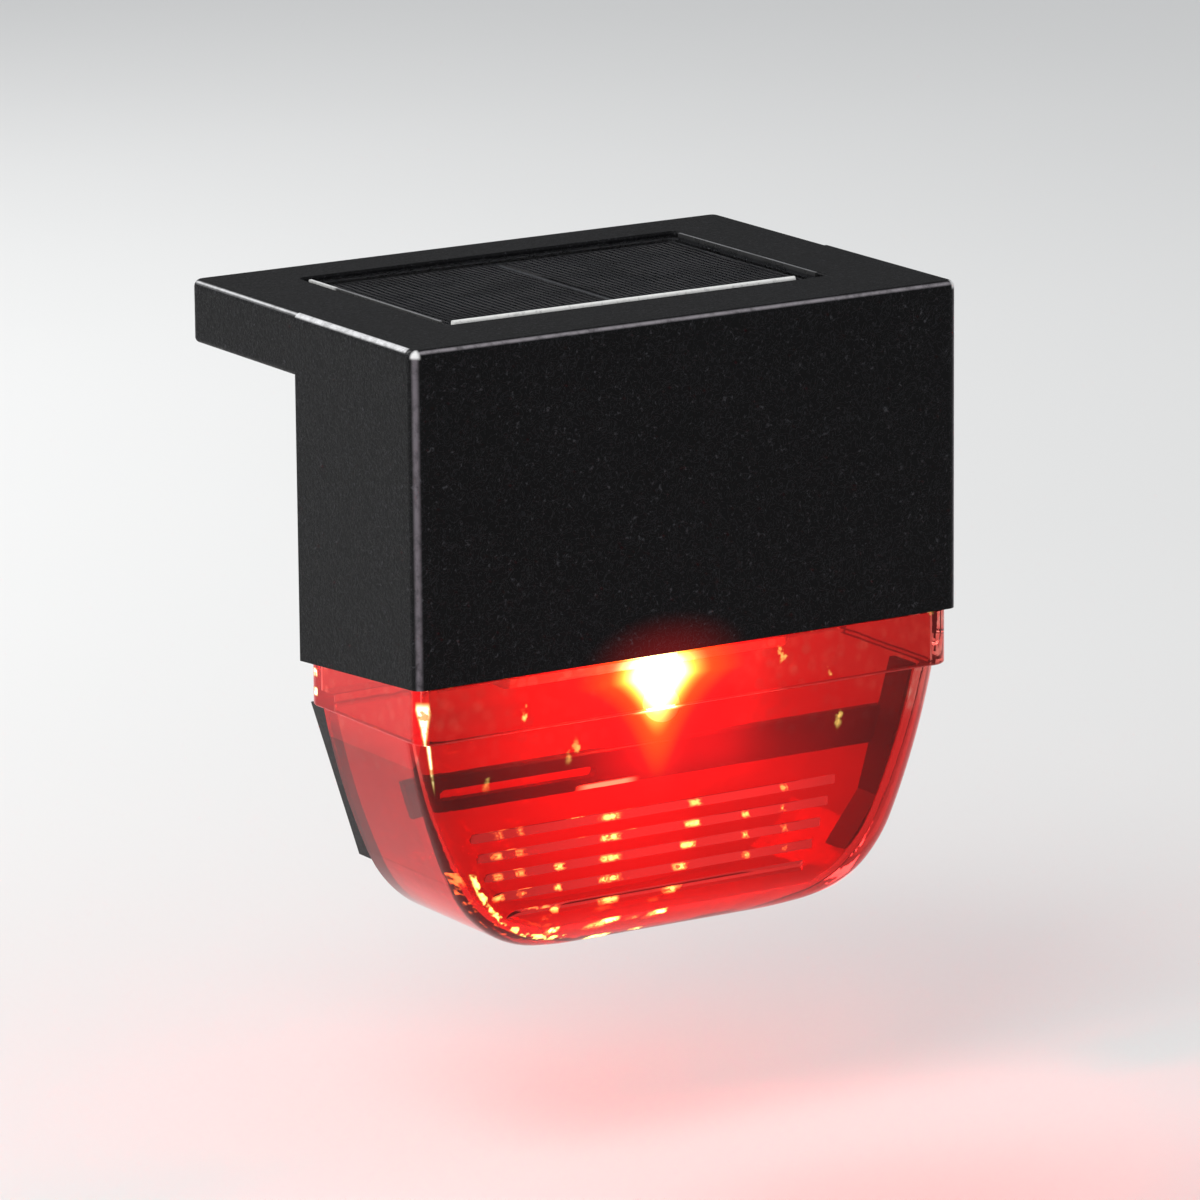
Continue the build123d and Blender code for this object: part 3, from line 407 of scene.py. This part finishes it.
    # painted highlight: bright line down the front corner, breaking up as it goes
    drop = k.ramp(z, -60.0 * MM, -45.0 * MM, 1.0, 0.0, smooth=False)
    lx = k.math("ABSOLUTE", k.math("ADD", x, k.math("SUBTRACT", 47.2 * MM, k.math("MULTIPLY", drop, 2.2 * MM))))
    ly = k.math("ABSOLUTE", k.math("ADD", y, k.math("SUBTRACT", 34.2 * MM, k.math("MULTIPLY", drop, 1.0 * MM))))
    streak = k.ramp(k.math("MAXIMUM", lx, ly), 0.5 * MM, 0.95 * MM, 1.0, 0.0)
    streak = k.math("MULTIPLY", streak, k.math("MULTIPLY", k.ramp(z, -60.0 * MM, -56.0 * MM), k.ramp(z, -44.0 * MM, -45.5 * MM)))
    streak = k.math("MULTIPLY", streak, k.ramp(k.noise(0.55, 2.0, 0.5), 0.38, 0.5, 0.25, 1.0))
    beads = k.math("MAXIMUM", beads, streak)
    # light gathered along the round lower corners
    cx = k.math("SUBTRACT", k.math("ABSOLUTE", x), 20.0 * MM)
    cz = k.math("ADD", z, (42.0 + 24.6) * MM)
    rad = k.math("POWER", k.math("ADD", k.math("MULTIPLY", cx, cx), k.math("MULTIPLY", cz, cz)), 0.5)
    arc = k.ramp(k.math("ABSOLUTE", k.math("SUBTRACT", k.math("ADD", rad, k.math("MULTIPLY", wob, 0.6)), 19.2 * MM)), 0.1 * MM, 0.5 * MM, 1.0, 0.0)
    arc = k.math("MULTIPLY", arc, k.math("MULTIPLY", k.math("LESS_THAN", cz, -6 * MM), k.math("LESS_THAN", x, -20.0 * MM)))
    arc = k.math("MULTIPLY", arc, k.math("MULTIPLY", k.math("LESS_THAN", y, -27.0 * MM), k.ramp(crumbs, 0.42, 0.6)))
    # sparse flecks of light in the upper band
    drift = k.math("MULTIPLY", k.math("SUBTRACT", k.noise(0.7, 2.0, 0.6), 0.5), 0.45)
    flecks = k.ramp(k.math("ADD", k.voronoi(0.19, vec=k.stretch((1.0, 1.0, 0.45))), drift), 0.0, 0.16, 1.0, 0.0)
    flecks = k.math("MULTIPLY", k.math("MULTIPLY", flecks, band), k.math("LESS_THAN", y, -33.9 * MM))
    flecks = k.math("MULTIPLY", flecks, k.ramp(k.noise(0.13, 1.0, 0.5), 0.42, 0.58, 0.0, 0.55))
    crease = k.math("MULTIPLY", crease, 0.35)
    outer = k.math("MAXIMUM", k.math("MAXIMUM", crease, beads), flecks)
    glint = k.math("ADD", k.math("MULTIPLY", k.math("MAXIMUM", total, k.math("MULTIPLY", arc, 0.5)), 2.6), outer)
    sparks = k.add("ShaderNodeEmission")
    k.put(sparks.inputs[0], k.mix(k.math("MAXIMUM", crease, beads), k.mix(flecks, (1.0, 0.85, 0.18), (1.0, 0.5, 0.15)), (1.0, 0.88, 0.8)))
    k.put(sparks.inputs[1], k.math("MULTIPLY", glint, 2.6))

    added = k.add("ShaderNodeAddShader")
    k.link(body.outputs[0], added.inputs[0])
    k.link(held.outputs[0], added.inputs[1])
    more = k.add("ShaderNodeAddShader")
    k.link(added.outputs[0], more.inputs[0])
    k.link(sparks.outputs[0], more.inputs[1])
    path = k.add("ShaderNodeLightPath")
    clear = k.add("ShaderNodeBsdfTransparent")
    clear.inputs[0].default_value = (0.97, 0.5, 0.48, 1)
    through = k.math("MAXIMUM", path.outputs["Is Shadow Ray"], path.outputs["Is Diffuse Ray"])
    mixer = k.add("ShaderNodeMixShader")
    k.link(through, mixer.inputs[0])
    k.link(more.outputs[0], mixer.inputs[1])
    k.link(clear.outputs[0], mixer.inputs[2])
    return k.done(mixer)


give("lens", lens_material())

# ------------------------------------------------------------------ lamp
k = Mat("led_epoxy")
x, y, z = k.xyz()
depth = k.ramp(z, LED_AT[2] - 2.5 * MM, LED_AT[2] + 5 * MM, 0.0, 1.0, smooth=False)
tone = k.colours(depth, [(0.0, (1.0, 0.9, 0.7)), (0.4, (1.0, 0.7, 0.35)), (1.0, (0.9, 0.02, 0.01))])
power = k.ramp(depth, 0.0, 1.0, 60.0, 6.0, smooth=False)
grain = k.noise(2.0, 2.0, 0.5)
lamp = k.shader(
    Base_Color=(0.9, 0.1, 0.06), Roughness=k.ramp(grain, 0.3, 0.7, 0.05, 0.12), Emission_Color=tone, Emission_Strength=power,
)
give("led", k.done(lamp))
give("led_legs", metal("lead_tin", (0.62, 0.61, 0.58), 0.3))

# ------------------------------------------------------------------ inner plastic
give("base_plate", moulded("inner_plastic", (0.78, 0.77, 0.74), rough=0.42, grain=0.9, depth=0.01, speck=0.1, tint=(0.9, 0.9, 0.88)))
give("battery_lid", moulded("lid_plastic", (0.76, 0.75, 0.72), rough=0.42, grain=0.9, depth=0.01, speck=0.1, tint=(0.9, 0.9, 0.88)))

steel = metal("screw_steel", (0.6, 0.6, 0.58), 0.32)
for n in ("base_screws", "circuit_screws"):
    give(n, steel)
give("plate_contact", metal("contact_nickel", (0.7, 0.68, 0.63), 0.22, along=(1, 1, 0.2)))
give("spring_contact", metal("spring_nickel", (0.7, 0.68, 0.63), 0.25))

# ------------------------------------------------------------------ cell
k = Mat("cell_sleeve")
x, y, z = k.xyz()
sleeve = k.math("MULTIPLY", k.ramp(x, -21.2 * MM, -21.0 * MM), k.ramp(x, 21.3 * MM, 21.1 * MM))
band = k.ramp(x, 13.6 * MM, 13.9 * MM)
mott = k.noise(0.2, 3.0, 0.5)
green = k.mix(k.ramp(mott, 0.3, 0.7), (0.03, 0.17, 0.07), (0.04, 0.2, 0.085))
sl = k.mix(band, green, (0.62, 0.62, 0.6))
bare = k.mix(k.ramp(mott, 0.3, 0.7), (0.55, 0.54, 0.52), (0.66, 0.65, 0.63))
col = k.mix(sleeve, bare, sl)
met = k.ramp(sleeve, 0.0, 1.0, 1.0, 0.0)
give("battery", k.done(k.shader(Base_Color=col, Metallic=met, Roughness=k.ramp(mott, 0.3, 0.7, 0.24, 0.34), Normal=k.bump(mott, 0.02))))

# ------------------------------------------------------------------ circuit
k = Mat("circuit_laminate")
weave = k.noise(2.2, 2.0, 0.5, vec=k.stretch((1, 0.3, 1)))
vor = k.voronoi(0.16, feature="DISTANCE_TO_EDGE", rand=0.8)
trace = k.ramp(vor, 0.05, 0.075, 1.0, 0.0)
c = k.mix(k.ramp(weave, 0.3, 0.7), (0.012, 0.085, 0.035), (0.018, 0.11, 0.045))
c = k.mix(k.math("MULTIPLY", trace, 0.8), c, (0.035, 0.2, 0.08))
give("circuit_board", k.done(k.shader(Base_Color=c, Roughness=0.32, Normal=k.bump(k.math("ADD", trace, k.math("MULTIPLY", weave, 0.2)), 0.03))))
k = Mat("chip_epoxy")
x, y, z = k.xyz()
pins = k.math("GREATER_THAN", k.math("ABSOLUTE", k.math("SUBTRACT", y, -16 * MM)), 1.97 * MM)
g = k.noise(2.5, 3.0, 0.6)
c = k.mix(pins, k.mix(g, (0.012, 0.012, 0.012), (0.03, 0.03, 0.03)), (0.6, 0.6, 0.58))
give("controller_chip", k.done(k.shader(Base_Color=c, Metallic=pins, Roughness=k.ramp(g, 0.3, 0.7, 0.4, 0.6), Normal=k.bump(g, 0.01))))
k = Mat("ferrite")
x, y, z = k.xyz()
zb = (13.6 - 42.0) * MM
wound = k.math("MULTIPLY", k.ramp(z, zb + 0.95 * MM, zb + 1.05 * MM), k.ramp(z, zb + 4.65 * MM, zb + 4.55 * MM))
turn = k.math("PINGPONG", z, 0.15 * MM)
cu = k.mix(k.ramp(turn, 0.0, 0.15 * MM), (0.22, 0.07, 0.02), (0.75, 0.3, 0.1))
g = k.noise(1.8, 3.0, 0.6)
fer = k.mix(g, (0.02, 0.02, 0.021), (0.055, 0.055, 0.058))
give("inductor", k.done(k.shader(Base_Color=k.mix(wound, fer, cu), Metallic=k.math("MULTIPLY", wound, 0.9), Roughness=k.ramp(g, 0.3, 0.7, 0.35, 0.6), Normal=k.bump(k.math("ADD", k.math("MULTIPLY", turn, 3000.0), g), 0.03))))
k = Mat("resistor_body")
x, y, z = k.xyz()
g = k.noise(2.0, 2.0, 0.5)
give("resistors", k.done(k.shader(Base_Color=k.mix(g, (0.015, 0.015, 0.016), (0.05, 0.05, 0.05)), Roughness=k.ramp(g, 0.3, 0.7, 0.25, 0.5))))
k = Mat("capacitor_can")
x, y, z = k.xyz()
top = k.ramp(z, zb + 5.7 * MM, zb + 5.8 * MM)
g = k.noise(0.8, 3.0, 0.5)
c = k.mix(top, k.mix(g, (0.02, 0.03, 0.09), (0.03, 0.04, 0.12)), (0.66, 0.66, 0.66))
give("capacitor", k.done(k.shader(Base_Color=c, Metallic=k.math("MULTIPLY", top, 0.9), Roughness=k.ramp(g, 0.3, 0.7, 0.25, 0.4))))

give("switch_body", metal("switch_shell", (0.58, 0.57, 0.54), 0.35))
give("switch_slider", moulded("slider_plastic", (0.02, 0.02, 0.02), rough=0.4, grain=2.5, depth=0.01, speck=0.2))


def wire_material(name, colour):
    k = Mat(name)
    g = k.noise(1.0, 3.0, 0.6)
    c = k.mix(k.ramp(g, 0.3, 0.7), [v * 0.8 for v in colour], colour)
    return k.done(k.shader(Base_Color=c, Roughness=k.ramp(g, 0.3, 0.7, 0.32, 0.45), Normal=k.bump(g, 0.02)))


red_wire = wire_material("wire_red", (0.5, 0.015, 0.012))
black_wire = wire_material("wire_black", (0.018, 0.018, 0.018))
for n in ("battery_wire_red", "panel_wire_red"):
    give(n, red_wire)
for n in ("battery_wire_black", "panel_wire_black", "switch_wires"):
    give(n, black_wire)

# ------------------------------------------------------------------ stage
low = cad_box[0][2] if hasattr(cad_box[0], "__len__") else -0.09
floor_z = low - 0.034
bpy.ops.mesh.primitive_plane_add(size=9.0, location=(0, 0, floor_z))
floor = bpy.context.object
floor.name = "floor"
k = Mat("floor_pale")
g = k.noise(0.004, 2.0, 0.5)
top_side = k.shader(Base_Color=k.mix(g, (0.72, 0.72, 0.71), (0.75, 0.75, 0.74)), Roughness=0.75)
see_through = k.add("ShaderNodeBsdfTransparent")
sides = k.add("ShaderNodeMixShader")
k.link(k.add("ShaderNodeNewGeometry").outputs["Backfacing"], sides.inputs[0])
k.link(top_side.outputs[0], sides.inputs[1])
k.link(see_through.outputs[0], sides.inputs[2])
floor.data.materials.append(k.done(sides))
floor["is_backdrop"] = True

world = bpy.data.worlds.new("studio") if not scene.world else scene.world
scene.world = world
world.use_nodes = True
bg = world.node_tree.nodes.get("Background") or world.node_tree.nodes.new("ShaderNodeBackground")
bg.inputs[0].default_value = (0.95, 0.97, 1.0, 1)
bg.inputs[1].default_value = 0.62


def area(name, at, aim, size, power, colour=(1, 1, 1), size_y=None):
    d = bpy.data.lights.new(name, "AREA")
    d.energy = power
    d.color = colour
    d.shape = "RECTANGLE"
    d.size = size
    d.size_y = size_y or size
    o = bpy.data.objects.new(name, d)
    scene.collection.objects.link(o)
    o.location = at
    o.rotation_euler = (Vector(aim) - Vector(at)).to_track_quat("-Z", "Y").to_euler()
    return o


centre = Vector((0.0, -0.002, -0.04))
area("key", (-0.55, -0.35, 0.8), centre, 0.5, 4.0, (1.0, 0.98, 0.95))
area("rim", (-0.2, 0.8, 0.45), centre, 0.8, 5.0, (1.0, 1.0, 1.0), size_y=0.3)
area("edge", (-0.8, -0.22, -0.02), centre, 0.07, 2.4, (1.0, 1.0, 1.0), size_y=0.5)

glow = bpy.data.lights.new("lamp_glow", "POINT")
glow.energy = 0.16
glow.color = (1.0, 0.03, 0.015)
glow.shadow_soft_size = 0.003
glow_o = bpy.data.objects.new("lamp_glow", glow)
scene.collection.objects.link(glow_o)
glow_o.location = (LED_AT[0], LED_AT[1], LED_AT[2] - 4.5 * MM)

# ------------------------------------------------------------------ camera
right = Vector((0.85587, -0.51705, -0.01186))
down = Vector((-0.11857, -0.17383, -0.97761))
ahead = Vector((0.50342, 0.83812, -0.21008))
eye = Vector((-0.64259, -1.01097 - 0.036, 0.29312 - 0.042))
target = Vector((0.003, -0.004, -0.041))
turn = ahead.rotation_difference((target - eye).normalized())
right, down, ahead = turn @ right, turn @ down, turn @ ahead
rot = Matrix((right, -down, -ahead)).transposed()
cam_d = bpy.data.cameras.new("camera")
cam_d.sensor_width = 36.0
cam_d.lens = 242.0
cam_d.clip_start = 0.01
cam_d.clip_end = 50
cam = bpy.data.objects.new("camera", cam_d)
scene.collection.objects.link(cam)
cam.matrix_world = Matrix.Translation(eye) @ rot.to_4x4()
scene.camera = cam
scene.view_settings.view_transform = "Standard"
scene.view_settings.look = "None"
scene.view_settings.exposure = 0.0


def plain(b):
    return [[float(v) for v in row] if hasattr(row, "__len__") else float(row) for row in b]


{"cad": plain(cad_box), "visual": plain(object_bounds())}
